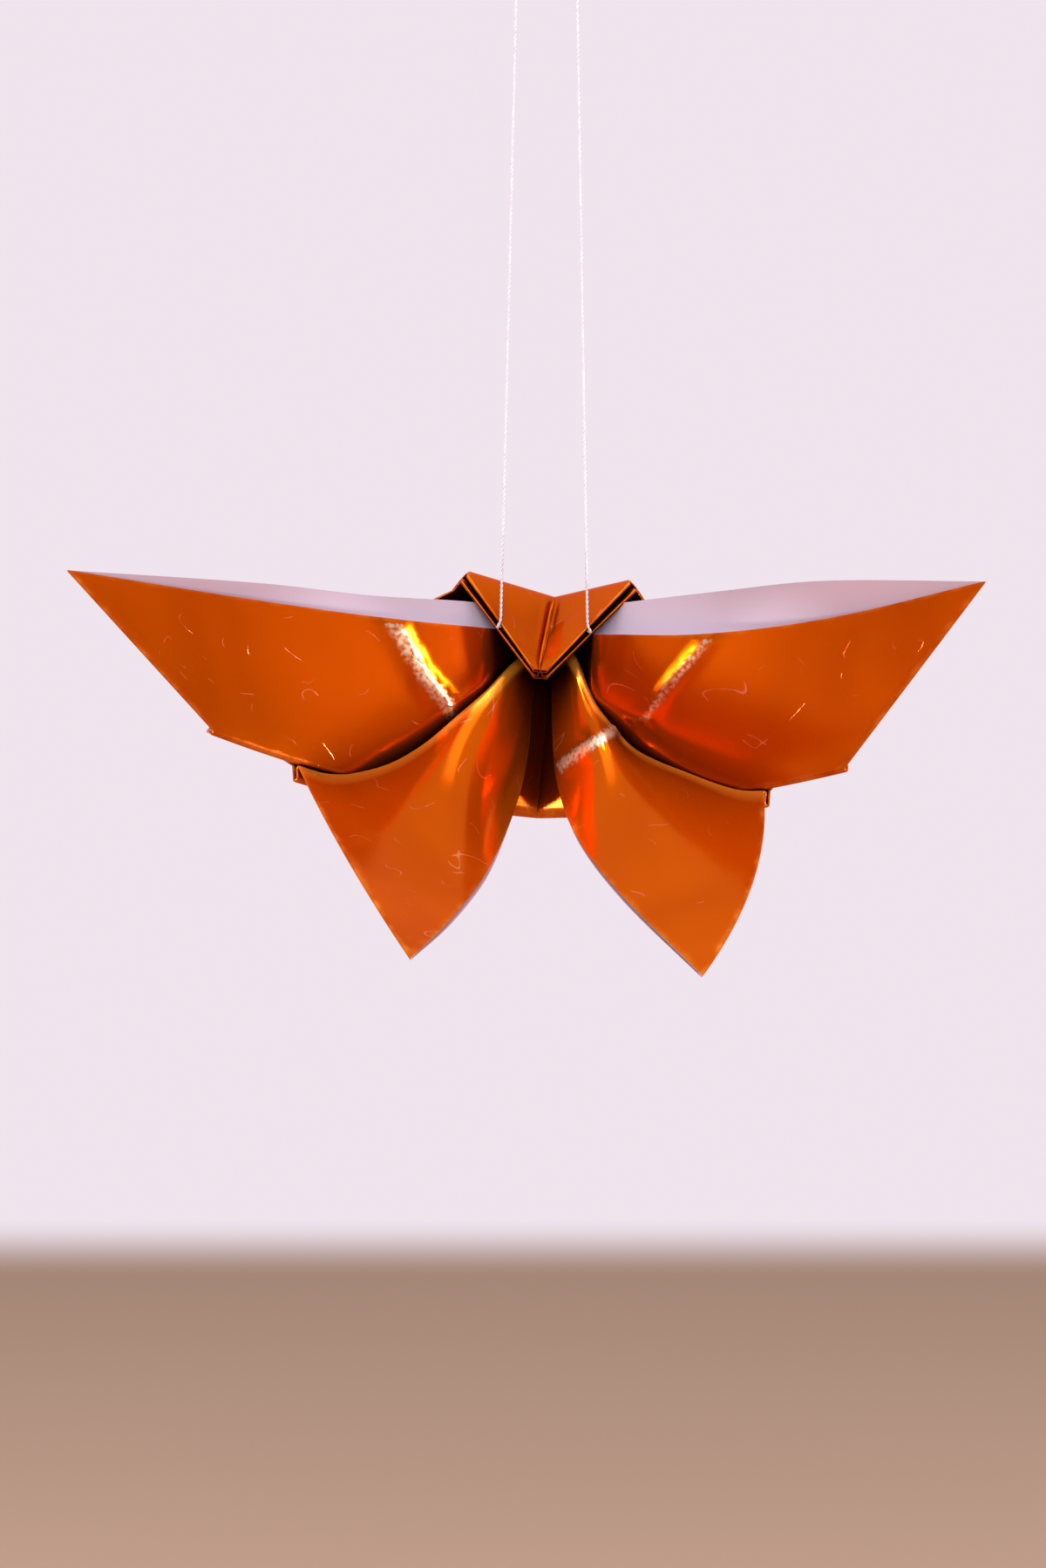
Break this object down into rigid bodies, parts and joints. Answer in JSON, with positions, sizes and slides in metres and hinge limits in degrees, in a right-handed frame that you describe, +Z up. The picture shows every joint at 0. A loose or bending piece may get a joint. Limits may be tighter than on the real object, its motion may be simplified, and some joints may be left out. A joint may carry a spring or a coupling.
{
  "type": "hanging origami butterfly",
  "caption": "Origami butterfly folded from one glossy orange square with white inside, head fold hooked over the wings, hung on white threads with small loops.",
  "frame": {"origin": "the hanging point, midway between the tops of the two thread loops", "axes": "+Z up, +X along the wings to the viewer's right, +Y away from the viewer; the wings sweep towards -Y"},
  "size_m": [0.1143, 0.0627, 0.1352],
  "materials": {
    "paper": "glossy orange face, white back",
    "thread": "twisted cotton"
  },
  "bodies": {
    "root": {"folded_sheet": "paper", "thread_left": "thread", "thread_right": "thread"}
  },
  "joints": []
}
